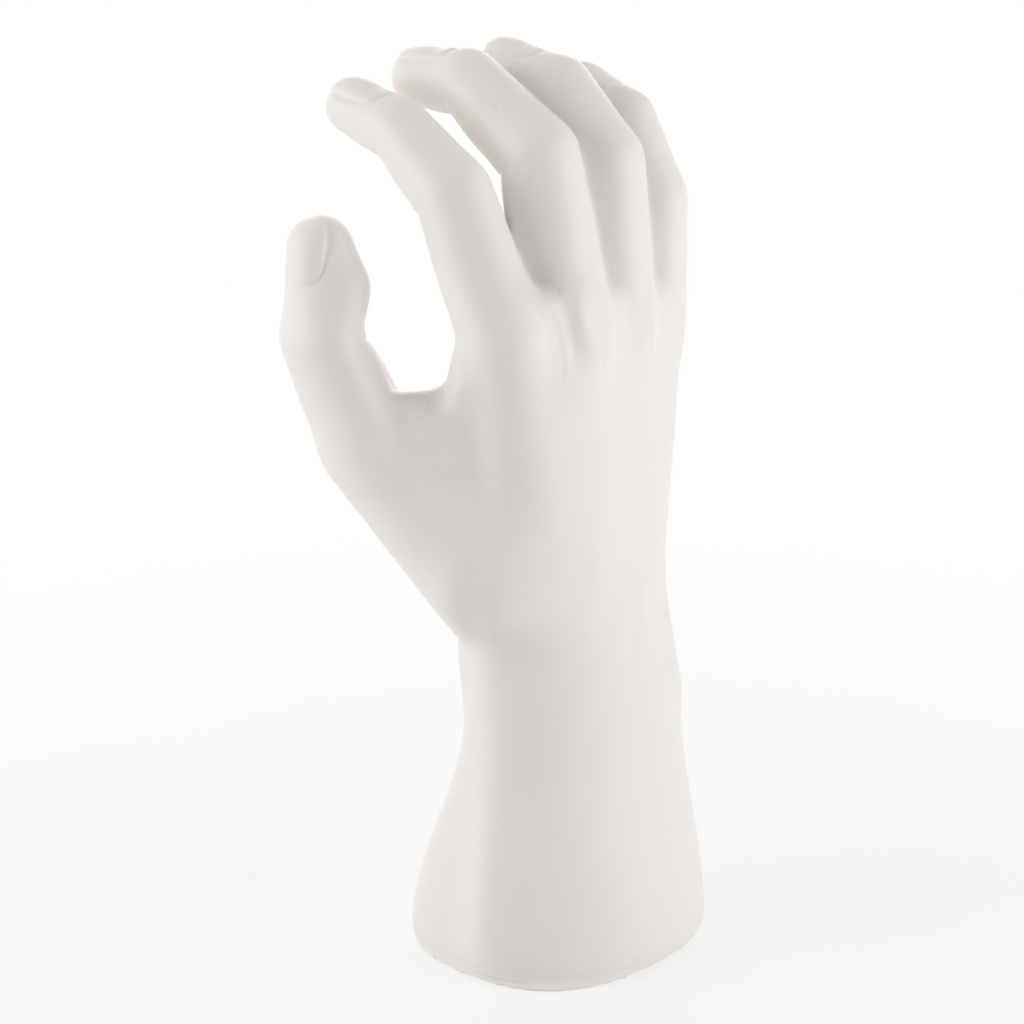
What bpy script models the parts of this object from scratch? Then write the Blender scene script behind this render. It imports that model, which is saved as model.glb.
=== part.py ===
"""Right hand on a flared forearm: a display form for rings, bracelets, watches and gloves.

It is one moulding in matt white plastic, closed under the foot, so it is one solid here.
Metres, +Z up. The back of the hand faces -Y, the palm +Y, the thumb is on the -X side.
The origin is the middle of the flat underside of the foot.
"""

import math
from typing import NamedTuple

import bmesh
import bpy
import numpy as np
from mathutils import Matrix, Vector

MM = 0.001
UP = Vector((0, 0, 1))

# Foot and wrist. Width runs from thumb side to little-finger side, depth from back to palm.
FOOT_WIDTH = 84 * MM
FOOT_DEPTH = 76 * MM
FOOT_EDGE = 3.6 * MM
WRIST_HEIGHT = 68 * MM
WRIST_WIDTH = 63 * MM
WRIST_DEPTH = 48 * MM
WRIST_ASIDE = 2.4 * MM
WRIST_BACK = 2.6 * MM

# Heel of the hand, where the wrist runs out into the palm.
HEEL_RISE = 38 * MM
HEEL_WIDTH = 60 * MM
HEEL_DEPTH = 40 * MM
HEEL_CROWN = 20 * MM

# Knob of the forearm bone, on the little-finger side of the wrist.
KNOB_RADIUS = 10 * MM
KNOB_RISE = 2 * MM
KNOB_ASIDE = 20 * MM
KNOB_BACK = 11.3 * MM

# How square the cross-section of the arm is. An oval would be 2.
FOOT_SQUARENESS = 2.4
WRIST_SQUARENESS = 3.0
HEEL_SQUARENESS = 2.4

# Moulded surface: the grain at which limbs are joined, and how often their corners are eased.
# The palm isn't eased in the lowest part of the foot.
PALM_GRAIN = 1.2 * MM
PALM_EASING = 45
SKIN_GRAIN = 0.8 * MM
SKIN_EASING = 8
EASING_FACTOR = 0.5
FOOT_ZONE = WRIST_HEIGHT / 3
FACES = 11400


class Section(NamedTuple):
    """Half sizes of a limb: across, towards its back, and towards its front."""

    across: float
    back: float
    front: float


class Ball(NamedTuple):
    """Flesh under the skin: (aside, behind, above) from the middle of the wrist, and a radius."""

    place: tuple
    radius: float


class Digit(NamedTuple):
    """A finger: its bones from palm to tip, and its girth at each joint.

    heel and knuckle are (aside, behind, above) from the middle of the wrist.
    lengths, leans and headings have one value for each bone beyond the knuckle. A lean is
    measured from upright, and a heading turns from the thumb side, 0, to the palm side, 90.
    """

    name: str
    heel: tuple
    knuckle: tuple
    lengths: tuple
    leans: tuple
    headings: tuple
    girths: tuple


INDEX = Digit(
    name="index",
    heel=(-17, -5, 52),
    knuckle=(-33.2, -5.3, 110),
    lengths=(41.3, 24.1, 17.9),
    leans=(26.4, 53.2, 76.4),
    headings=(90, 91, 92),
    girths=(11.7, 10.5, 8.6, 7.4),
)
MIDDLE = Digit(
    name="middle",
    heel=(-8, -7, 54),
    knuckle=(-12.2, -9.3, 108.2),
    lengths=(48.6, 30.9, 17.6),
    leans=(14.7, 57.4, 91),
    headings=(95, 92, 90),
    girths=(11.5, 10.9, 9.2, 7.7),
)
RING = Digit(
    name="ring",
    heel=(3, -7, 52),
    knuckle=(8.6, -7.3, 105.9),
    lengths=(46.2, 24.8, 20),
    leans=(7.3, 44.4, 78.5),
    headings=(110, 93, 89),
    girths=(10.8, 10.3, 8.8, 7.3),
)
LITTLE = Digit(
    name="little",
    heel=(13, -4, 50),
    knuckle=(27.4, -4.4, 102.4),
    lengths=(37.3, 23.8, 15.9),
    leans=(3.1, 29.3, 66),
    headings=(173, 95, 82),
    girths=(9.6, 8.4, 7.6, 6.6),
)
THUMB = Digit(
    name="thumb",
    heel=(-30.1, 11.7, 45.5),
    knuckle=(-47.2, 31, 79),
    lengths=(33.3, 23),
    leans=(22, 4.2),
    headings=(30, 150),
    girths=(13.6, 11.2, 8.5),
)
THUMB_BACK = Vector((-1, 0.09, 0))
FINGERS = (INDEX, MIDDLE, RING, LITTLE)

# Each bone as shares of its girth: at its root, over its back, its waist, its belly and its pad.
ROOT_SHARE = 1.1
BACK_SHARE = 0.98
WAIST_SHARE = 0.97
BELLY_SHARE = 1.04
PAD_SHARE = 0.96

# Bones inside the palm: their share of girth at the heel, and how soon they reach the whole of it.
PALM_BONE_SHARE = 0.8
PALM_BONE_SWELL = 0.6

# The back of the hand stops this far short of each knuckle, at this share of its girth.
KNUCKLE_SETBACK = 4 * MM
KNUCKLE_SHARE = 0.9

# Webs between the finger roots: how far up each finger, how far to the palm side, and how thick.
WEB_RISE = 8 * MM
WEB_FORWARD = -3 * MM
WEB_SHARE = 0.62

# Palm: a ball in the heel of the hand on each side, and the pads that run to the finger roots.
HEEL_THUMB_SIDE = Ball((-11, 0, 14), 21)
HEEL_LITTLE_SIDE = Ball((10.8, -0.5, 30), 17.5)
PAD_OF_LITTLE = Ball((24.6, -0.2, 81), 12.5)
PAD_OF_INDEX = Ball((-29, 6, 91), 11)
PAD_OF_MIDDLE = Ball((-6, 3, 90), 12)
ROOT_OF_INDEX = Ball((-35, -2.5, 109.7), 10.3)
HEEL_PAD = Ball((11, 8, 24), 16)

# Thumb root: muscle on the palm side, and the sheet of skin that joins the thumb to the index.
# Shares are of the girth of the thumb at its knuckle, and for its pad at its middle joint.
THUMB_HEEL = Ball((-6.4, 3.5, 14), 14.5)
THUMB_WRIST_LOW = Ball((-12, 9.8, -4), 15.1)
THUMB_WRIST_HIGH = Ball((-13.4, 11.1, 17.5), 15.8)
THUMB_ROOT_GIRTH = 14.2
THUMB_MUSCLE = Ball((-27, 22, 60), 14)
THUMB_INNER = Ball((-12, 12, 64), 12)
PALM_MIDDLE = Ball((0, 7, 58), 11)
THUMB_MUSCLE_SHARE = 0.9
THUMB_WEB_SHARE = 0.8
THUMB_PAD_SHARE = 0.9
THUMB_WEB_THUMB_SIDE = Ball((-42.7, 26.5, 90.5), 3.5)
THUMB_WEB_INDEX_SIDE = Ball((-36.2, 13.3, 92.5), 3.5)
THUMB_WEB_FLOOR = Ball((-32, 8, 62), 12)
THUMB_PAD = Ball((-54.9, 34.7, 123), 9.2)

# Muscle between the bones of the thumb and the index finger, on the back of the hand.
BACK_MUSCLE_HEEL = Ball((-9, -2.5, 16), 18)
BACK_MUSCLE_THUMB_SIDE = Ball((-40.2, 20.9, 62), 13)
BACK_MUSCLE_INDEX_SIDE = Ball((-23.7, -6, 64), 10.5)

# Nails, as shares of the girth of the fingertip, and how they stand out of the skin. Only skin
# that lies this far to the back side of the bone is lifted, and no further along than the reach.
NAIL_HALF_WIDTH = 0.78
NAIL_HALF_LENGTH = 0.85
NAIL_RAISE = 0.4 * MM
NAIL_GROOVE = 0.35 * MM
NAIL_EDGE = 0.12
NAIL_SQUARENESS = 4
NAIL_SIDE = 0.2
NAIL_REACH = 2


def from_wrist(place):
    """A place given in millimetres from the middle of the wrist."""
    aside, behind, above = (value * MM for value in place)
    return Vector((WRIST_ASIDE + aside, behind - WRIST_BACK, WRIST_HEIGHT + above))


QUARTER_TURN = 90


def direction(lean, heading):
    lean, heading = math.radians(lean), math.radians(heading)
    flat = math.sin(lean)
    return Vector((-flat * math.cos(heading), flat * math.sin(heading), math.cos(lean)))


def joints(digit):
    """The middles of the joints of a digit, from its heel to the middle of its tip."""
    places = [from_wrist(digit.heel), from_wrist(digit.knuckle)]
    for length, lean, heading in zip(digit.lengths, digit.leans, digit.headings):
        places.append(places[-1] + direction(lean, heading) * length * MM)
    return places


SIDES = 48


def oval(middle, across, back, section, squareness=2.0):
    """A ring of points whose back half and front half have their own depths."""
    ring = []
    for step in range(SIDES):
        angle = math.tau * step / SIDES
        along = math.copysign(abs(math.cos(angle)) ** (2 / squareness), math.cos(angle))
        out = math.copysign(abs(math.sin(angle)) ** (2 / squareness), math.sin(angle))
        depth = section.back if out > 0 else section.front
        ring.append(middle + across * section.across * along + back * depth * out)
    return ring


def add_loft(skin, rings):
    """A closed skin through rings of equally many points."""
    loops = [[skin.verts.new(point) for point in ring] for ring in rings]
    for low, high in zip(loops, loops[1:]):
        for i in range(SIDES):
            j = (i + 1) % SIDES
            skin.faces.new((low[i], low[j], high[j], high[i]))
    skin.faces.new(reversed(loops[0]))
    skin.faces.new(loops[-1])


def eased(share):
    return share * share * (3 - 2 * share)


def between(first, second, share):
    return Section(*(a + (b - a) * share for a, b in zip(first, second)))


CAP_STEPS = 6
BONE_STEPS = 12


def add_bone(skin, start, end, back, sections):
    """A rounded limb from one joint to the next, through its start, middle and end sections."""
    axis = (end - start).normalized()
    back = (back - axis * back.dot(axis)).normalized()
    across = axis.cross(back)
    first, middle, last = sections
    rings = []
    for step in range(1, CAP_STEPS):
        angle = math.pi / 2 * step / CAP_STEPS
        reach = sum(first) / len(first) * math.cos(angle)
        small = Section(*(size * math.sin(angle) for size in first))
        rings.append(oval(start - axis * reach, across, back, small))
    for step in range(BONE_STEPS + 1):
        share = step / BONE_STEPS
        if share < 0.5:
            section = between(first, middle, eased(share * 2))
        else:
            section = between(middle, last, eased(share * 2 - 1))
        rings.append(oval(start + (end - start) * share, across, back, section))
    for step in range(CAP_STEPS - 1, 0, -1):
        angle = math.pi / 2 * step / CAP_STEPS
        reach = sum(last) / len(last) * math.cos(angle)
        small = Section(*(size * math.sin(angle) for size in last))
        rings.append(oval(end + axis * reach, across, back, small))
    add_loft(skin, rings)


def add_taut_skin(skin, *balls):
    """A taut skin round several balls."""
    shell = bmesh.new()
    for ball in balls:
        middle = Matrix.Translation(from_wrist(ball.place))
        bmesh.ops.create_icosphere(shell, subdivisions=3, radius=ball.radius * MM, matrix=middle)
    bmesh.ops.delete(shell, geom=shell.edges[:] + shell.faces[:], context="EDGES_FACES")
    bmesh.ops.convex_hull(shell, input=shell.verts[:])
    inside = [vert for vert in shell.verts if not vert.link_faces]
    bmesh.ops.delete(shell, geom=inside, context="VERTS")
    taut = bpy.data.meshes.new("taut_skin")
    shell.to_mesh(taut)
    shell.free()
    skin.from_mesh(taut)
    bpy.data.meshes.remove(taut)


def arm_section(height):
    """Middle, half sizes and squareness of the arm at a height, from the foot to the heel."""
    if height <= WRIST_HEIGHT:
        share = eased(min(1.0, (WRIST_HEIGHT - height) / WRIST_HEIGHT))
        width, depth, squareness, aside = FOOT_WIDTH, FOOT_DEPTH, FOOT_SQUARENESS, 1 - share
    else:
        share = eased(min(1.0, (height - WRIST_HEIGHT) / HEEL_RISE))
        width, depth, squareness, aside = HEEL_WIDTH, HEEL_DEPTH, HEEL_SQUARENESS, 1
    width = WRIST_WIDTH + (width - WRIST_WIDTH) * share
    depth = WRIST_DEPTH + (depth - WRIST_DEPTH) * share
    squareness = WRIST_SQUARENESS + (squareness - WRIST_SQUARENESS) * share
    middle = Vector((WRIST_ASIDE * aside, -WRIST_BACK * aside, height))
    return middle, width / 2, depth / 2, squareness


ARM_STEPS = 40
BELOW_CUT = 2 * PALM_GRAIN


def add_arm(skin):
    across, back = Vector((1, 0, 0)), Vector((0, -1, 0))
    rings = []
    for step in range(CAP_STEPS + 1):
        angle = math.pi / 2 * step / CAP_STEPS
        inset = FOOT_EDGE * (1 - math.sin(angle))
        height = FOOT_EDGE * (1 - math.cos(angle))
        middle, width, depth, squareness = arm_section(height)
        if step == 0:
            middle.z = -BELOW_CUT
        section = Section(width - inset, depth - inset, depth - inset)
        rings.append(oval(middle, across, back, section, squareness))
    top = WRIST_HEIGHT + HEEL_RISE
    for step in range(1, ARM_STEPS + 1):
        height = FOOT_EDGE + (top - FOOT_EDGE) * step / ARM_STEPS
        middle, width, depth, squareness = arm_section(height)
        rings.append(oval(middle, across, back, Section(width, depth, depth), squareness))
    for step in range(1, CAP_STEPS):
        angle = math.pi / 2 * step / CAP_STEPS
        share = math.cos(angle)
        middle.z = top + HEEL_CROWN * math.sin(angle)
        section = Section(width * share, depth * share, depth * share)
        rings.append(oval(middle, across, back, section, squareness))
    add_loft(skin, rings)


def add_knob(skin):
    place = Vector((KNOB_ASIDE, -KNOB_BACK, KNOB_RISE)) / MM
    add_taut_skin(skin, Ball(place, KNOB_RADIUS / MM))


def to_wrist(point):
    """The inverse of from_wrist."""
    return (point - from_wrist((0, 0, 0))) / MM


def knuckle_ball(digit, share=1.0):
    return Ball(digit.knuckle, digit.girths[0] * share)


def back_ball(finger):
    """Flesh of the back of the hand, just below a knuckle."""
    heel, knuckle = joints(finger)[:2]
    short = knuckle + (heel - knuckle).normalized() * KNUCKLE_SETBACK
    return Ball(to_wrist(short), finger.girths[0] * KNUCKLE_SHARE)


def web_ball(finger):
    """The edge of the web, on the palm side of a finger root."""
    knuckle, middle_joint = joints(finger)[1:3]
    place = knuckle + (middle_joint - knuckle).normalized() * WEB_RISE
    place.y += WEB_FORWARD
    return Ball(to_wrist(place), finger.girths[0] * WEB_SHARE)


def add_palm(skin):
    for first, second, heel, pads in (
        (INDEX, MIDDLE, HEEL_THUMB_SIDE, (PAD_OF_INDEX, PAD_OF_MIDDLE)),
        (MIDDLE, RING, HEEL_THUMB_SIDE, (PAD_OF_MIDDLE, PAD_OF_LITTLE)),
        (RING, LITTLE, HEEL_LITTLE_SIDE, (PAD_OF_LITTLE,)),
    ):
        add_taut_skin(skin, back_ball(first), back_ball(second), heel, *pads)
        add_taut_skin(skin, web_ball(first), web_ball(second), *pads)
    add_taut_skin(skin, back_ball(MIDDLE), back_ball(RING), HEEL_THUMB_SIDE, HEEL_LITTLE_SIDE)
    add_taut_skin(skin, HEEL_LITTLE_SIDE, HEEL_PAD, PAD_OF_LITTLE)
    add_taut_skin(skin, PAD_OF_LITTLE, PAD_OF_MIDDLE, HEEL_PAD, HEEL_LITTLE_SIDE)
    add_taut_skin(skin, PAD_OF_INDEX, PAD_OF_MIDDLE, HEEL_THUMB_SIDE)
    add_taut_skin(skin, ROOT_OF_INDEX, PAD_OF_INDEX, web_ball(INDEX))
    add_taut_skin(skin, PALM_MIDDLE, PAD_OF_MIDDLE, THUMB_INNER, HEEL_PAD)
    for finger in FINGERS:
        heel, knuckle = joints(finger)[:2]
        girth = finger.girths[0] * MM
        wide = Section(girth, girth, girth)
        narrow = Section(*(size * PALM_BONE_SHARE for size in wide))
        swelling = between(narrow, wide, PALM_BONE_SWELL)
        add_bone(skin, heel, knuckle, Vector((0, -1, 0)), (narrow, swelling, wide))


def add_thumb_root(skin):
    root = Ball(THUMB.heel, THUMB_ROOT_GIRTH)
    add_taut_skin(skin, THUMB_WRIST_LOW, THUMB_WRIST_HIGH)
    add_taut_skin(skin, THUMB_HEEL, root)
    add_taut_skin(skin, root, knuckle_ball(THUMB))
    add_taut_skin(skin, root, BACK_MUSCLE_THUMB_SIDE, BACK_MUSCLE_INDEX_SIDE, BACK_MUSCLE_HEEL)
    muscle_top = knuckle_ball(THUMB, THUMB_MUSCLE_SHARE)
    add_taut_skin(skin, THUMB_HEEL, root, muscle_top, THUMB_MUSCLE, THUMB_INNER)
    add_taut_skin(skin, THUMB_WEB_THUMB_SIDE, THUMB_WEB_INDEX_SIDE, THUMB_WEB_FLOOR)
    web_side = knuckle_ball(THUMB, THUMB_WEB_SHARE)
    add_taut_skin(skin, THUMB_WEB_THUMB_SIDE, web_side, THUMB_WEB_FLOOR, THUMB_INNER)
    add_taut_skin(skin, THUMB_WEB_INDEX_SIDE, PAD_OF_INDEX, THUMB_WEB_FLOOR, THUMB_INNER)


def add_thumb_pad(skin):
    """The soft pad of the thumb, opposite its nail."""
    middle_joint, tip = joints(THUMB)[-2:]
    _, middle_girth, tip_girth = THUMB.girths
    add_taut_skin(skin, THUMB_PAD, Ball(to_wrist(tip), tip_girth))
    add_taut_skin(skin, THUMB_PAD, Ball(to_wrist(middle_joint), middle_girth * THUMB_PAD_SHARE))


def back_of(digit, bone):
    """Which way the back of a bone of a digit faces. The thumb is turned to face its own side."""
    if digit is THUMB:
        return THUMB_BACK
    return direction(digit.leans[bone] - QUARTER_TURN, digit.headings[bone])


def add_limb(skin, digit):
    """The bones beyond the knuckle."""
    places = joints(digit)[1:]
    girths = [girth * MM for girth in digit.girths]
    if digit is not THUMB:
        girths[0] = girths[1] * ROOT_SHARE
    for bone, (near, far) in enumerate(zip(girths, girths[1:])):
        middle = (near + far) / 2
        sections = (
            Section(near, near * BACK_SHARE, near),
            Section(middle, middle * WAIST_SHARE, middle * BELLY_SHARE),
            Section(far, far, far * PAD_SHARE),
        )
        add_bone(skin, places[bone], places[bone + 1], back_of(digit, bone), sections)


def smooth_step(values):
    values = np.clip(values, 0.0, 1.0)
    return values * values * (3 - 2 * values)


def raise_nail(points, digit):
    """Lift the nail of a digit out of the skin, with a groove round it."""
    places = joints(digit)
    girth = digit.girths[-1] * MM
    axis = (places[-1] - places[-2]).normalized()
    back = back_of(digit, len(digit.lengths) - 1)
    back = (back - axis * back.dot(axis)).normalized()
    across = axis.cross(back)
    offsets = (points - np.array(places[-1])) / girth
    along, aside, out = (offsets @ np.array(way) for way in (axis, across, back))
    across_share = np.abs(aside / NAIL_HALF_WIDTH) ** NAIL_SQUARENESS
    along_share = np.abs(along / NAIL_HALF_LENGTH) ** NAIL_SQUARENESS
    rim = (across_share + along_share) ** (1 / NAIL_SQUARENESS)
    plate = NAIL_RAISE * smooth_step((1 - rim) / NAIL_EDGE)
    groove = NAIL_GROOVE * np.exp(-(((rim - 1 - NAIL_EDGE / 2) / NAIL_EDGE) ** 2))
    lift = (plate - groove) * (out > NAIL_SIDE) * (np.abs(along) < NAIL_REACH)
    return points + np.outer(lift, np.array(back))


def with_nails(mesh):
    points = np.empty(len(mesh.vertices) * 3)
    mesh.vertices.foreach_get("co", points)
    points = points.reshape(-1, 3)
    for digit in (*FINGERS, THUMB):
        points = raise_nail(points, digit)
    mesh.vertices.foreach_set("co", points.ravel())
    mesh.update()
    return mesh


def evaluated(thing):
    """The mesh that an object has with its modifiers."""
    graph = bpy.context.evaluated_depsgraph_get()
    return bpy.data.meshes.new_from_object(thing.evaluated_get(graph))


def new_object(name, mesh, collection):
    thing = bpy.data.objects.new(name, mesh)
    collection.objects.link(thing)
    return thing


def one_skin(parts, grain, collection):
    """One closed surface round all the limbs in a bmesh."""
    bmesh.ops.recalc_face_normals(parts, faces=parts.faces)
    mesh = bpy.data.meshes.new("limbs")
    parts.to_mesh(mesh)
    parts.free()
    limbs = new_object("limbs", mesh, collection)
    joined = limbs.modifiers.new("one_skin", "REMESH")
    joined.mode = "VOXEL"
    joined.voxel_size = grain
    skin = evaluated(limbs)
    bpy.data.objects.remove(limbs)
    return skin


def smoothed(mesh, passes, collection, fixed_below=None):
    """The mesh with its corners eased, but for the foot where a height is given."""
    thing = new_object("easing", mesh, collection)
    easing = thing.modifiers.new("easing", "SMOOTH")
    easing.factor = EASING_FACTOR
    easing.iterations = passes
    if fixed_below is not None:
        group = thing.vertex_groups.new(name="above_foot")
        for vert in mesh.vertices:
            share = min(1.0, max(0.0, vert.co.z / fixed_below - 1))
            group.add([vert.index], share, "REPLACE")
        easing.vertex_group = "above_foot"
    result = evaluated(thing)
    bpy.data.objects.remove(thing)
    return result


def thinned(mesh, faces, collection):
    thing = new_object("thinning", mesh, collection)
    fewer = thing.modifiers.new("fewer_faces", "DECIMATE")
    fewer.ratio = faces / (2 * len(mesh.polygons))
    result = evaluated(thing)
    bpy.data.objects.remove(thing)
    return result


def white_plastic():
    material = bpy.data.materials.new("matt_white_plastic")
    material.use_nodes = True
    shader = material.node_tree.nodes["Principled BSDF"]
    shader.inputs["Base Color"].default_value = (0.78, 0.76, 0.73, 1)
    shader.inputs["Roughness"].default_value = 0.55
    shader.inputs["Metallic"].default_value = 0.0
    return material


def main():
    for thing in list(bpy.data.objects):
        bpy.data.objects.remove(thing)
    collection = bpy.data.collections.new("hand_stand")
    bpy.context.scene.collection.children.link(collection)

    palm = bmesh.new()
    add_arm(palm)
    add_knob(palm)
    add_palm(palm)
    add_thumb_root(palm)
    palm_mesh = one_skin(palm, PALM_GRAIN, collection)
    palm_mesh = smoothed(palm_mesh, PALM_EASING, collection, fixed_below=FOOT_ZONE)

    whole = bmesh.new()
    whole.from_mesh(palm_mesh)
    for digit in (*FINGERS, THUMB):
        add_limb(whole, digit)
    add_thumb_pad(whole)
    hand_mesh = one_skin(whole, SKIN_GRAIN, collection)
    hand_mesh = smoothed(hand_mesh, SKIN_EASING, collection)
    hand_mesh = thinned(with_nails(hand_mesh), FACES, collection)

    shape = bmesh.new()
    shape.from_mesh(hand_mesh)
    everything = shape.verts[:] + shape.edges[:] + shape.faces[:]
    bmesh.ops.bisect_plane(shape, geom=everything, plane_co=(0, 0, 0), plane_no=UP, clear_inner=True)
    rim = [edge for edge in shape.edges if edge.is_boundary]
    bmesh.ops.contextual_create(shape, geom=rim)
    bmesh.ops.triangulate(shape, faces=shape.faces)
    shape.to_mesh(hand_mesh)
    shape.free()
    hand_mesh.shade_smooth()
    hand_mesh.materials.append(white_plastic())
    new_object("hand", hand_mesh, collection)


main()
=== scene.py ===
"""A right hand on a flared forearm, a display form for rings, bracelets and watches.

The hand is one moulding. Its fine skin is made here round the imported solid.
"""

import math

import bpy
import numpy as np
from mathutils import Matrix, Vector
from mathutils.bvhtree import BVHTree


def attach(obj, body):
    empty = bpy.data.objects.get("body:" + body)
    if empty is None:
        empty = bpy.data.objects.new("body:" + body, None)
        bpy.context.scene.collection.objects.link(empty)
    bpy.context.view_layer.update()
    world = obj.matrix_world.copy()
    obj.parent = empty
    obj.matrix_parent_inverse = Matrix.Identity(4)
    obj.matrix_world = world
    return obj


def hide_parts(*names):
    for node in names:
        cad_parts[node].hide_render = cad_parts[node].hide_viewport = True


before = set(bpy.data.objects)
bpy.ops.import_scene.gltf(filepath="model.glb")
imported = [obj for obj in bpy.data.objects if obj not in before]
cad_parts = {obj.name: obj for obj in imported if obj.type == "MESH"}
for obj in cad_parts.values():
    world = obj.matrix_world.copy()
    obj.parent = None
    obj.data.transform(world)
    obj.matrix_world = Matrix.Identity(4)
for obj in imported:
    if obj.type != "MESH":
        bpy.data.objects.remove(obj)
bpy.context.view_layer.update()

# Camera. It stands higher than the fingertips and looks down on the back of the hand from the
# thumb's side, near enough for the foot to show its curve.

PHOTO_SIZE = 1024
CAMERA_TURN = math.radians(-48)
CAMERA_RISE = math.radians(17)
CAMERA_DISTANCE = 0.774
CAMERA_FOCAL_PIXELS = 2700
CAMERA_SENSOR_WIDTH = 36
CAMERA_SEES_FROM = 0.01
FOOT_PIXEL = (558, 927)

camera_back = Vector((
    math.sin(CAMERA_TURN) * math.cos(CAMERA_RISE),
    -math.cos(CAMERA_TURN) * math.cos(CAMERA_RISE),
    math.sin(CAMERA_RISE),
))
camera_turned = camera_back.to_track_quat("Z", "Y")
camera_right = camera_turned @ Vector((1, 0, 0))
camera_up = camera_turned @ Vector((0, 1, 0))
pixel_at_foot = CAMERA_DISTANCE / CAMERA_FOCAL_PIXELS
foot_aside = (FOOT_PIXEL[0] - PHOTO_SIZE / 2) * pixel_at_foot
foot_below = (FOOT_PIXEL[1] - PHOTO_SIZE / 2) * pixel_at_foot
camera_place = (
    camera_back * CAMERA_DISTANCE - camera_right * foot_aside + camera_up * foot_below
)

bpy.ops.object.camera_add(location=camera_place, rotation=camera_turned.to_euler())
camera = bpy.context.object
camera.data.sensor_width = CAMERA_SENSOR_WIDTH
camera.data.lens = CAMERA_FOCAL_PIXELS / PHOTO_SIZE * camera.data.sensor_width
camera.data.clip_start = CAMERA_SEES_FROM
bpy.context.scene.camera = camera


def skin_under(tree, pixel):
    """Where the line of sight through a pixel of the photograph meets a surface."""
    aside = (pixel[0] - PHOTO_SIZE / 2) / CAMERA_FOCAL_PIXELS
    below = (pixel[1] - PHOTO_SIZE / 2) / CAMERA_FOCAL_PIXELS
    sight = (camera_right * aside - camera_up * below - camera_back).normalized()
    place, normal, _, _ = tree.ray_cast(camera_place, sight)
    return place, normal


# Studio. A wide sheet of white paper lies under the hand. The camera sees it as plain white, but
# for a soft shadow round the foot. Large soft boxes stand on both sides, behind and above.


def linear(colour):
    """An sRGB hex colour as the linear values that a shader takes."""
    values = [int(colour[i:i + 2], 16) / 255 for i in (1, 3, 5)]
    values = [v / 12.92 if v <= 0.04045 else ((v + 0.055) / 1.055) ** 2.4 for v in values]
    return (*values, 1.0)


def add_node(tree, kind, settings=None, links=None):
    """Adds a node. A link's value is an output socket, or the plain value of that input."""
    node = tree.nodes.new(kind)
    for name, value in (settings or {}).items():
        setattr(node, name, value)
    for name, value in (links or {}).items():
        if isinstance(value, bpy.types.NodeSocket):
            tree.links.new(value, node.inputs[name])
        else:
            node.inputs[name].default_value = value
    return node


def in_view(tree):
    """Is 1 for rays that show a thing, also in a mirror or through glass, and 0 for its light."""
    rays = add_node(tree, "ShaderNodeLightPath")
    seen = rays.outputs["Is Camera Ray"]
    for other in ("Is Glossy Ray", "Is Transmission Ray"):
        either = add_node(tree, "ShaderNodeMath", {"operation": "MAXIMUM"}, {
            0: seen,
            1: rays.outputs[other],
        })
        seen = either.outputs["Value"]
    return seen


WHITE = (1, 1, 1, 1)
SWEEP_HALF_WIDTH = 6.0
SWEEP_COLOUR = "#f4f4f4"
SHADOW_REACH = (0.10, 0.40)
SHADOW_STRENGTH = 0.30

bpy.ops.object.select_all(action="DESELECT")
bpy.ops.mesh.primitive_plane_add(size=2 * SWEEP_HALF_WIDTH, location=(0, 0, 0))
sweep = bpy.context.object
sweep.name = "studio_sweep"

paper = bpy.data.materials.new("seamless_white_paper")
paper.use_nodes = True
paper_tree = paper.node_tree
paper_tree.nodes.clear()
coordinates = add_node(paper_tree, "ShaderNodeTexCoord")
distance = add_node(paper_tree, "ShaderNodeVectorMath", {"operation": "LENGTH"}, {
    0: coordinates.outputs["Object"],
})
fading = add_node(paper_tree, "ShaderNodeMapRange", {"interpolation_type": "SMOOTHSTEP"}, {
    "Value": distance.outputs["Value"],
    "From Min": SHADOW_REACH[0],
    "From Max": SHADOW_REACH[1],
    "To Min": 1 - SHADOW_STRENGTH,
    "To Max": 1.0,
})
share = add_node(paper_tree, "ShaderNodeMath", {"operation": "MULTIPLY"}, {
    0: in_view(paper_tree),
    1: fading.outputs["Result"],
})
matt = add_node(paper_tree, "ShaderNodeBsdfDiffuse", None, {"Color": linear(SWEEP_COLOUR)})
white = add_node(paper_tree, "ShaderNodeEmission", None, {"Color": WHITE, "Strength": 1.0})
mixed = add_node(paper_tree, "ShaderNodeMixShader", None, {
    0: share.outputs["Value"],
    1: matt.outputs["BSDF"],
    2: white.outputs["Emission"],
})
add_node(paper_tree, "ShaderNodeOutputMaterial", None, {"Surface": mixed.outputs["Shader"]})
sweep.data.materials.append(paper)

WORLD_LIGHT = 0.33

world = bpy.data.worlds.new("studio_white")
bpy.context.scene.world = world
world.use_nodes = True
world_tree = world.node_tree
world_tree.nodes.clear()
dim = add_node(world_tree, "ShaderNodeBackground", None, {
    "Color": WHITE,
    "Strength": WORLD_LIGHT,
})
bright = add_node(world_tree, "ShaderNodeBackground", None, {"Color": WHITE, "Strength": 1.0})
mixed = add_node(world_tree, "ShaderNodeMixShader", None, {
    0: in_view(world_tree),
    1: dim.outputs["Background"],
    2: bright.outputs["Background"],
})
add_node(world_tree, "ShaderNodeOutputWorld", None, {"Surface": mixed.outputs["Shader"]})

# Turn from the camera to its right, and rise, in degrees; width and height in metres; watts.
SOFT_BOXES = {
    "right_box": (71, 14, 0.6, 0.8, 5.4),
    "left_box": (-75, 18, 0.6, 0.8, 4.6),
    "rear_box": (180, 12, 0.9, 0.7, 4.2),
    "top_box": (-120, 66, 0.8, 0.8, 1.8),
}
BOX_DISTANCE = 1.0
HAND_MIDDLE = Vector((0, 0, 0.13))

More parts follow.
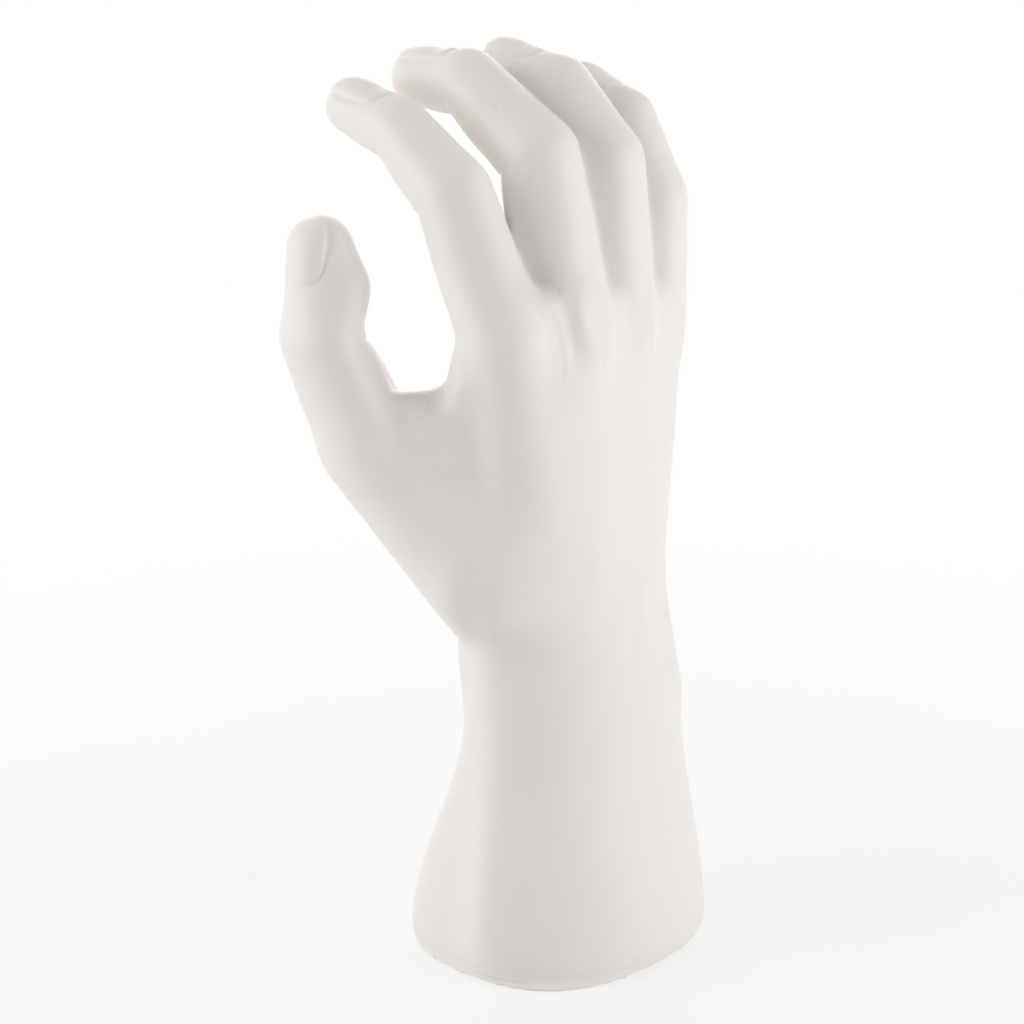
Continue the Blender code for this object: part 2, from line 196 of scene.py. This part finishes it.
for name, (turn, rise, width, height, watts) in SOFT_BOXES.items():
    turn = CAMERA_TURN + math.radians(turn)
    rise = math.radians(rise)
    way = Vector((
        math.sin(turn) * math.cos(rise),
        -math.cos(turn) * math.cos(rise),
        math.sin(rise),
    ))
    bpy.ops.object.light_add(
        type="AREA",
        location=HAND_MIDDLE + way * BOX_DISTANCE,
        rotation=way.to_track_quat("Z", "Y").to_euler(),
    )
    box = bpy.context.object
    box.name = name
    box.data.shape = "RECTANGLE"
    box.data.size = width
    box.data.size_y = height
    box.data.energy = watts

bpy.context.scene.view_settings.view_transform = "Standard"

# Skin of the hand, which is a single moulding in white vinyl. The solid is a coarse cast of it,
# so its facets are eased into one smooth, fine surface, like the polished mould that the real
# hand comes out of. The foot stays flat.

MERGE_DISTANCE = 0.00001
SKIN_GRAIN = 0.00055
SKIN_EASING = 24
EASE_SHRINK = 0.60
EASE_SWELL = 0.62
FOOT_FLAT_TO = 0.0005
FOOT_BLEND = 0.002

bpy.ops.object.select_all(action="DESELECT")
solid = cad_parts["hand"]
hand = bpy.data.objects.new("hand_moulding", solid.data.copy())
bpy.context.scene.collection.objects.link(hand)
hand.data.materials.clear()
hand.select_set(True)
bpy.context.view_layer.objects.active = hand
bpy.ops.object.mode_set(mode="EDIT")
bpy.ops.mesh.select_all(action="SELECT")
bpy.ops.mesh.remove_doubles(threshold=MERGE_DISTANCE)
bpy.ops.mesh.normals_make_consistent(inside=False)
bpy.ops.object.mode_set(mode="OBJECT")

rounding = hand.modifiers.new("rounding", "SUBSURF")
rounding.levels = 1
rounding.render_levels = 1
bpy.ops.object.modifier_apply(modifier="rounding")
skin = hand.modifiers.new("skin", "REMESH")
skin.mode = "VOXEL"
skin.voxel_size = SKIN_GRAIN
bpy.ops.object.modifier_apply(modifier="skin")


def get_points(piece):
    """The places of a piece's vertices, one row for each."""
    points = np.empty(len(piece.data.vertices) * 3)
    piece.data.vertices.foreach_get("co", points)
    return points.reshape(-1, 3)


def set_points(piece, points):
    """Moves a piece's vertices to new places."""
    piece.data.vertices.foreach_set("co", points.ravel())
    piece.data.update()


def get_normals(piece):
    """The way out of the surface at each of a piece's vertices."""
    normals = np.empty(len(piece.data.vertices) * 3)
    piece.data.vertices.foreach_get("normal", normals)
    return normals.reshape(-1, 3)


def smooth_step(values):
    """Rises softly from 0 to 1 while the values do, and stays there beyond."""
    values = np.clip(values, 0.0, 1.0)
    return values * values * (3 - 2 * values)


class Neighbours:
    """Averages values over each point's neighbours, which eases a surface when done often."""

    def __init__(self, piece):
        edges = np.empty(len(piece.data.edges) * 2, np.int64)
        piece.data.edges.foreach_get("vertices", edges)
        edges = edges.reshape(-1, 2)
        self.start = np.concatenate((edges[:, 0], edges[:, 1]))
        self.end = np.concatenate((edges[:, 1], edges[:, 0]))
        self.count = np.bincount(self.start, minlength=len(piece.data.vertices))

    def mean(self, values):
        """The mean of the neighbours' values, column by column."""
        total = np.stack([
            np.bincount(self.start, weights=column[self.end], minlength=len(self.count))
            for column in values.T
        ], axis=1)
        return total / self.count[:, None]

    def ease(self, points, passes, weight, keep_size=True):
        """Eases the points. Each pass that shrinks is followed by one that swells, to keep size."""
        weight = weight[:, None]
        for _ in range(passes):
            points = points + EASE_SHRINK * weight * (self.mean(points) - points)
            if keep_size:
                points = points - EASE_SWELL * weight * (self.mean(points) - points)
        return points


neighbours = Neighbours(hand)
points = get_points(hand)
above_foot = smooth_step((points[:, 2] - FOOT_FLAT_TO) / FOOT_BLEND)
points = neighbours.ease(points, SKIN_EASING, above_foot, keep_size=False)
set_points(hand, points)

# The eased skin is thinner than the solid at the fingertips, and is let out to it again.
LET_OUT_BLUR = 40

normals = get_normals(hand)
solid_tree = BVHTree.FromObject(solid, bpy.context.evaluated_depsgraph_get())
short = np.empty((len(points), 1))
for i, point in enumerate(points):
    place, _, _, _ = solid_tree.find_nearest(point)
    short[i] = (np.array(place) - point) @ normals[i]
for _ in range(LET_OUT_BLUR):
    short = neighbours.mean(short)
points = points + normals * short * above_foot[:, None]
set_points(hand, points)

# The thumb side of the forearm is nearly flat. It is planed off towards this side and this deep,
# from the foot up to the wrist, slice by slice, and a share of what stands out there is left.
PLANED_TURN = CAMERA_TURN - math.radians(20)
PLANED_DEPTH = 0.0038
PLANED_SOFTNESS = 0.008
PLANED_REST = 0.25
PLANED_UP_TO = (0.088, 0.106)
PLANED_SLICE = 0.001
PLANED_SLICES_BLURRED = 7
PLANED_PASSES = 30

plane_way = np.array((math.sin(PLANED_TURN), -math.cos(PLANED_TURN), 0.0))
standing_out = points @ plane_way
slices = (points[:, 2] / PLANED_SLICE).astype(int)
slices -= slices.min()
furthest = np.zeros(slices.max() + 1)
np.maximum.at(furthest, slices, standing_out)
furthest = np.pad(furthest, PLANED_SLICES_BLURRED // 2, mode="edge")
blur = np.ones(PLANED_SLICES_BLURRED) / PLANED_SLICES_BLURRED
furthest = np.convolve(furthest, blur, mode="valid")
fade_start, fade_end = PLANED_UP_TO
fading = 1 - smooth_step((points[:, 2] - fade_start) / (fade_end - fade_start))
excess = standing_out - furthest[slices] + PLANED_DEPTH
excess = (excess + np.hypot(excess, PLANED_SOFTNESS)) / 2 * fading
points = points - np.outer(excess * (1 - PLANED_REST) * above_foot, plane_way)
points = neighbours.ease(points, PLANED_PASSES, above_foot)
set_points(hand, points)


def skin_tree(points):
    """The skin as a surface that lines of sight can meet."""
    faces = [face.vertices[:] for face in hand.data.polygons]
    return BVHTree.FromPolygons(points.tolist(), faces)


def drawn_on_skin(tree, pixels, step=5.0):
    """Points and normals of the skin along a line drawn over the photograph, a step apart."""
    places, normals = [], []
    for (x0, y0), (x1, y1) in zip(pixels, pixels[1:] or pixels):
        count = max(1, round(math.hypot(x1 - x0, y1 - y0) / step))
        for i in range(count + 1):
            share = i / count
            place, normal = skin_under(tree, (x0 + (x1 - x0) * share, y0 + (y1 - y0) * share))
            if place is not None:
                places.append(place)
                normals.append(normal)
    return np.array(places), np.array(normals)


def reach_of_line(points, places):
    """How far each point is from the nearest of a line's places."""
    squares = np.full(len(points), np.inf)
    for place in places:
        squares = np.minimum(squares, ((points - place) ** 2).sum(axis=1))
    return np.sqrt(squares)


def mound(reach, radius):
    """The height of a soft mound: 1 in its middle, and almost nothing at two radii from it."""
    return np.exp(-(reach / radius) ** 2)


# Clay is added (+) or taken away (-) in broad strokes, drawn over the photograph in pixels, each
# with its radius and height in millimetres.
BROAD_STROKES = {
    "thumb_bone": ([(345, 350), (378, 450), (428, 505), (470, 550)], 14, 4.8),
    "wrist_end_of_thumb_bone": ([(480, 580), (508, 616)], 13, 2.6),
    "wrist_notch": ([(464, 612), (467, 642)], 8, 1.5),
    "web_floor": ([(408, 408), (426, 428)], 9, 8.0),
    "inner_edge_of_thumb": ([(368, 330), (386, 380)], 7, -0.4),
    "side_of_middle_finger": ([(509, 195), (513, 240)], 5, 1.3),
    "side_of_index_root": ([(460, 395), (456, 450)], 6, 2.6),
    "index_bone": ([(530, 450), (540, 560)], 10, -0.8),
    "side_of_forearm": ([(485, 690), (485, 740), (470, 840), (450, 930)], 14, -2.4),
    "wrist_hollow": ([(490, 650), (540, 645)], 9, -1.6),
    "outer_wrist": ([(662, 605), (668, 645)], 7, -1.4),
    "index_web": ([(540, 300), (560, 300), (575, 306)], 6, 2.0),
    "knuckle_valley": ([(562, 330), (575, 375)], 8, 1.5),
}
MILLIMETRES = 1000
STROKE_FACING = 0.5

tree = skin_tree(points)
normals = get_normals(hand)
for pixels, radius, height in BROAD_STROKES.values():
    places, ways = drawn_on_skin(tree, pixels)
    way = ways.mean(axis=0)
    way /= np.linalg.norm(way)
    stroke = mound(reach_of_line(points, places), radius / MILLIMETRES)
    facing = smooth_step(normals @ way / STROKE_FACING + 0.5)
    amount = height / MILLIMETRES * stroke * facing * above_foot
    points = points + np.outer(amount, way)

# The corner between the back of the forearm and its thumb side is pushed towards the thumb.
CORNER_LINE = [(538, 650), (542, 740), (545, 850), (545, 940)]
CORNER_RADIUS = 0.022
CORNER_PUSH = 0.0120

places, _ = drawn_on_skin(tree, CORNER_LINE)
stroke = mound(reach_of_line(points, places), CORNER_RADIUS)
facing = smooth_step(normals @ np.array(camera_back))
amount = CORNER_PUSH * stroke * facing * above_foot
points = points - np.outer(amount, np.array(camera_right))

# The notch where the thumb's root meets the wrist is rubbed smooth, and then all of the clay is
# eased a little.
NOTCH_LINE = [(457, 628), (468, 668)]
NOTCH_RADIUS = 0.014
NOTCH_PASSES = 110
CLAY_PASSES = 6

places, _ = drawn_on_skin(tree, NOTCH_LINE)
stroke = mound(reach_of_line(points, places), NOTCH_RADIUS)
points = neighbours.ease(points, NOTCH_PASSES, stroke, keep_size=False)
points = neighbours.ease(points, CLAY_PASSES, above_foot)
set_points(hand, points)

# Fine lines on the back of the hand: edges of the tendons and folds of skin beside the knuckles,
# cut into the mould by hand, and the pits that bubbles left in the moulding. They are drawn as
# the broad strokes are, in smaller steps.
FINE_LINES = {
    "index_tendon_edge": ([(552, 305), (561, 325), (567, 348), (567, 368)], 1.5, 0.18),
    "index_tendon_valley": ([(573, 325), (576, 370)], 2.4, -0.20),
    "index_fold": ([(538, 314), (548, 330), (550, 355)], 0.9, -0.16),
    "index_lower_fold": ([(564, 356), (563, 384)], 0.8, -0.12),
    "middle_tendon_edge": ([(606, 300), (611, 352)], 2.0, 0.35),
    "middle_fold": ([(618, 315), (617, 348)], 0.9, -0.25),
    "middle_lower_fold": ([(603, 348), (603, 395)], 0.8, -0.18),
    "ring_tendon_edge": ([(651, 285), (652, 325), (653, 357)], 0.9, 0.40),
    "ring_fold": ([(658, 340), (659, 372)], 0.9, -0.25),
    "outer_wrist_hollow": ([(634, 590), (634, 650)], 3.0, -0.45),
    "pit_at_wrist": ([(588, 599)], 0.7, -0.35),
    "pit_at_web": ([(557, 292)], 0.7, -0.35),
    "pit_at_foot": ([(633, 960)], 1.0, -0.30),
    "pit_on_middle_finger": ([(497, 107)], 0.9, -0.30),
}
FINE_STEP = 2.0

tree = skin_tree(points)
normals = get_normals(hand)
for pixels, radius, height in FINE_LINES.values():
    places, _ = drawn_on_skin(tree, pixels, step=FINE_STEP)
    stroke = mound(reach_of_line(points, places), radius / MILLIMETRES)
    amount = height / MILLIMETRES * stroke
    points = points + normals * amount[:, None]

# Plain creases run across the palm side of each finger joint, which the photograph doesn't show.
CREASE_DEPTH = 0.00045
CREASE_WIDTH = 0.0007
CREASE_REACH = 0.015
CREASE_FADE = 0.2
CREASE_FACING = 0.8
JOINTS = {
    # middle of the joint, way along the finger, way to the palm side
    "index_middle_joint": ((-0.0308, 0.0104, 0.2150), (0.0, 0.64, 0.77), (0.0, 0.77, -0.64)),
    "index_end_joint": ((-0.0305, 0.0297, 0.2294), (0.0, 0.905, 0.426), (0.0, 0.426, -0.905)),
    "middle_middle_joint": ((-0.0087, 0.0003, 0.2232), (0.0, 0.59, 0.81), (0.0, 0.81, -0.59)),
    "middle_end_joint": ((-0.0078, 0.0263, 0.2399), (0.0, 0.96, 0.28), (0.0, 0.28, -0.96)),
    "ring_middle_joint": ((0.0130, -0.0045, 0.2197), (0.0, 0.44, 0.90), (0.0, 0.90, -0.44)),
    "ring_end_joint": ((0.0139, 0.0128, 0.2374), (0.0, 0.88, 0.48), (0.0, 0.48, -0.88)),
    "little_middle_joint": ((0.0318, -0.0069, 0.2076), (0.0, 0.26, 0.965), (0.0, 0.965, -0.26)),
    "little_end_joint": ((0.0328, 0.0047, 0.2284), (0.0, 0.74, 0.67), (0.0, 0.67, -0.74)),
    "thumb_joint": ((-0.0556, 0.0345, 0.1779), (0.15, 0.10, 0.98), (0.98, -0.09, -0.15)),
}

for joint, along, palm in JOINTS.values():
    offsets = points - np.array(joint)
    length_ways = offsets @ np.array(along)
    reach = np.linalg.norm(offsets, axis=1) / CREASE_REACH
    near = 1 - smooth_step((reach - (1 - CREASE_FADE)) / CREASE_FADE)
    facing = smooth_step(normals @ np.array(palm) / CREASE_FACING)
    amount = CREASE_DEPTH * mound(length_ways, CREASE_WIDTH) * facing * near
    points = points - normals * amount[:, None]

set_points(hand, points)

# Nails. They are part of the moulding: flat plates that stand a little out of the fingertips,
# each with a fine groove along its sides and its rounded root, and a step under its free edge.

NAIL_RAISE = 0.00026
NAIL_EDGE = 0.0007
NAIL_GROOVE = 0.00036
NAIL_GROOVE_OUTSIDE = 0.8 * NAIL_EDGE
NAIL_GROOVE_RADIUS = 0.6 * NAIL_EDGE
NAIL_TAPER = 0.35
NAIL_SQUARENESS = 4.5
TIP_SWELLING = 0.0005
TIP_RADIUS = 0.008
NAILS = {
    # middle of the fingertip, way to the tip, way out of the nail, half width, half length
    "index": (
        (-0.0299, 0.0448, 0.2330), (0.034, 0.971, 0.235), (-0.008, -0.235, 0.972),
        0.0057, 0.0092,
    ),
    "middle": (
        (-0.0078, 0.0402, 0.2396), (0.0, 1.0, -0.017), (0.0, 0.017, 1.0),
        0.0054, 0.0092,
    ),
    "ring": (
        (0.0136, 0.0298, 0.2409), (-0.017, 0.980, 0.199), (0.003, -0.199, 0.980),
        0.0052, 0.0086,
    ),
    "little": (
        (0.0308, 0.0176, 0.2342), (-0.127, 0.905, 0.407), (0.057, -0.403, 0.914),
        0.0046, 0.0074,
    ),
    "thumb": (
        (-0.0541, 0.0360, 0.2008), (0.020, 0.060, 0.997), (-0.998, 0.030, 0.030),
        0.0073, 0.0078,
    ),
}
# In half lengths of the nail: how far it is cut at most, where its taper ends, and where the
# fingertip swells. In half widths: how far out the skin has to be for the nail to be cut in it.
NAIL_REACH = 1.6
TAPER_END = 1.2
SWELLING_AT = 0.7
NAIL_ABOVE = 0.2

# The solid's coarse nails are rubbed away first, over this many half lengths of each.
RUBBED_TO = 1.3
RUBBED_FADE = 0.4
RUBBING_PASSES = 25

weight = np.zeros(len(points))
for tip, _, _, _, half_length in NAILS.values():
    reach = np.linalg.norm(points - np.array(tip), axis=1)
    fading = smooth_step((reach - RUBBED_TO * half_length) / (RUBBED_FADE * half_length))
    weight = np.maximum(weight, 1 - fading)
points = neighbours.ease(points, RUBBING_PASSES, weight)
set_points(hand, points)
normals = get_normals(hand)

for tip, along, out, half_width, half_length in NAILS.values():
    along, out = Vector(along).normalized(), Vector(out).normalized()
    across = along.cross(out)
    offsets = points - np.array(tip)
    length_ways = offsets @ np.array(along)
    width_ways = offsets @ np.array(across)
    depth_ways = offsets @ np.array(out)
    on_top = depth_ways > NAIL_ABOVE * half_width
    near = on_top & (np.abs(length_ways) < NAIL_REACH * half_length)
    taper = 1 - NAIL_TAPER * np.clip(length_ways / half_length, 0, TAPER_END) ** 2
    rim = ((np.abs(width_ways) / (half_width * taper)) ** NAIL_SQUARENESS
           + (np.abs(length_ways) / half_length) ** NAIL_SQUARENESS) ** (1 / NAIL_SQUARENESS)
    inside = (1 - rim) * half_width
    plate = NAIL_RAISE * smooth_step(inside / NAIL_EDGE + 0.5)
    groove = NAIL_GROOVE * mound(inside + NAIL_GROOVE_OUTSIDE, NAIL_GROOVE_RADIUS)
    tip_reach = np.linalg.norm(offsets - np.array(along) * SWELLING_AT * half_length, axis=1)
    swelling = TIP_SWELLING * mound(tip_reach, TIP_RADIUS)
    points = points + normals * ((plate - groove) * near + swelling)[:, None]

set_points(hand, points)

# The finished skin has fewer faces where it is plain. Its squares count as two triangles each.
SKIN_TRIANGLES = 190000

fewer = hand.modifiers.new("fewer", "DECIMATE")
fewer.ratio = SKIN_TRIANGLES / (2 * len(hand.data.polygons))
bpy.ops.object.modifier_apply(modifier="fewer")
bpy.ops.object.shade_smooth()

# Material. Soft vinyl, tinted off-white through its thickness and left matt by the mould. It has
# faint clouds of a warmer and a cooler tint, a skin a little finer in some places than in others,
# and a surface like very fine orange peel, drawn 1 mm coarse because a finer one wouldn't show.

PLASTIC_WARM = "#f0ebe7"
PLASTIC_COOL = "#eeebe8"
CLOUD_SIZE = 0.020
CLOUD_DETAIL = 3.0
CLOUD_BREAK_UP = 0.55
CLOUD_RANGE = (0.35, 0.65)
PATCH_SIZE = 0.009
PATCH_DETAIL = 4.0
PATCH_BREAK_UP = 0.6
PATCH_RANGE = (0.3, 0.7)
ROUGHNESS = (0.44, 0.58)
PEEL_SIZE = 0.0010
PEEL_DETAIL = 2.0
PEEL_BREAK_UP = 0.5
PEEL_STRENGTH = 0.6
PEEL_DEPTH = 0.00002
VINYL_IOR = 1.5
LIGHT_LET_IN = 0.10
LIGHT_SPREAD = (1.0, 0.7, 0.5)
LIGHT_DEPTH = 0.005

plastic = bpy.data.materials.new("matt_white_vinyl")
plastic.use_nodes = True
plastic_tree = plastic.node_tree
plastic_tree.nodes.clear()
coordinates = add_node(plastic_tree, "ShaderNodeTexCoord")
clouds = add_node(plastic_tree, "ShaderNodeTexNoise", None, {
    "Vector": coordinates.outputs["Object"],
    "Scale": 1 / CLOUD_SIZE,
    "Detail": CLOUD_DETAIL,
    "Roughness": CLOUD_BREAK_UP,
})
tint = add_node(plastic_tree, "ShaderNodeValToRGB", None, {"Fac": clouds.outputs["Fac"]})
for stop, position, colour in zip(
    tint.color_ramp.elements, CLOUD_RANGE, (PLASTIC_COOL, PLASTIC_WARM)
):
    stop.position = position
    stop.color = linear(colour)
patches = add_node(plastic_tree, "ShaderNodeTexNoise", None, {
    "Vector": coordinates.outputs["Object"],
    "Scale": 1 / PATCH_SIZE,
    "Detail": PATCH_DETAIL,
    "Roughness": PATCH_BREAK_UP,
})
roughness = add_node(plastic_tree, "ShaderNodeMapRange", None, {
    "Value": patches.outputs["Fac"],
    "From Min": PATCH_RANGE[0],
    "From Max": PATCH_RANGE[1],
    "To Min": ROUGHNESS[0],
    "To Max": ROUGHNESS[1],
})
peel = add_node(plastic_tree, "ShaderNodeTexNoise", None, {
    "Vector": coordinates.outputs["Object"],
    "Scale": 1 / PEEL_SIZE,
    "Detail": PEEL_DETAIL,
    "Roughness": PEEL_BREAK_UP,
})
relief = add_node(plastic_tree, "ShaderNodeBump", None, {
    "Height": peel.outputs["Fac"],
    "Strength": PEEL_STRENGTH,
    "Distance": PEEL_DEPTH,
})
shader = add_node(plastic_tree, "ShaderNodeBsdfPrincipled", None, {
    "Base Color": tint.outputs["Color"],
    "Roughness": roughness.outputs["Result"],
    "Normal": relief.outputs["Normal"],
    "IOR": VINYL_IOR,
    "Subsurface Weight": LIGHT_LET_IN,
    "Subsurface Radius": LIGHT_SPREAD,
    "Subsurface Scale": LIGHT_DEPTH,
})
add_node(plastic_tree, "ShaderNodeOutputMaterial", None, {"Surface": shader.outputs["BSDF"]})
hand.data.materials.append(plastic)

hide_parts("hand")
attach(hand, "root")
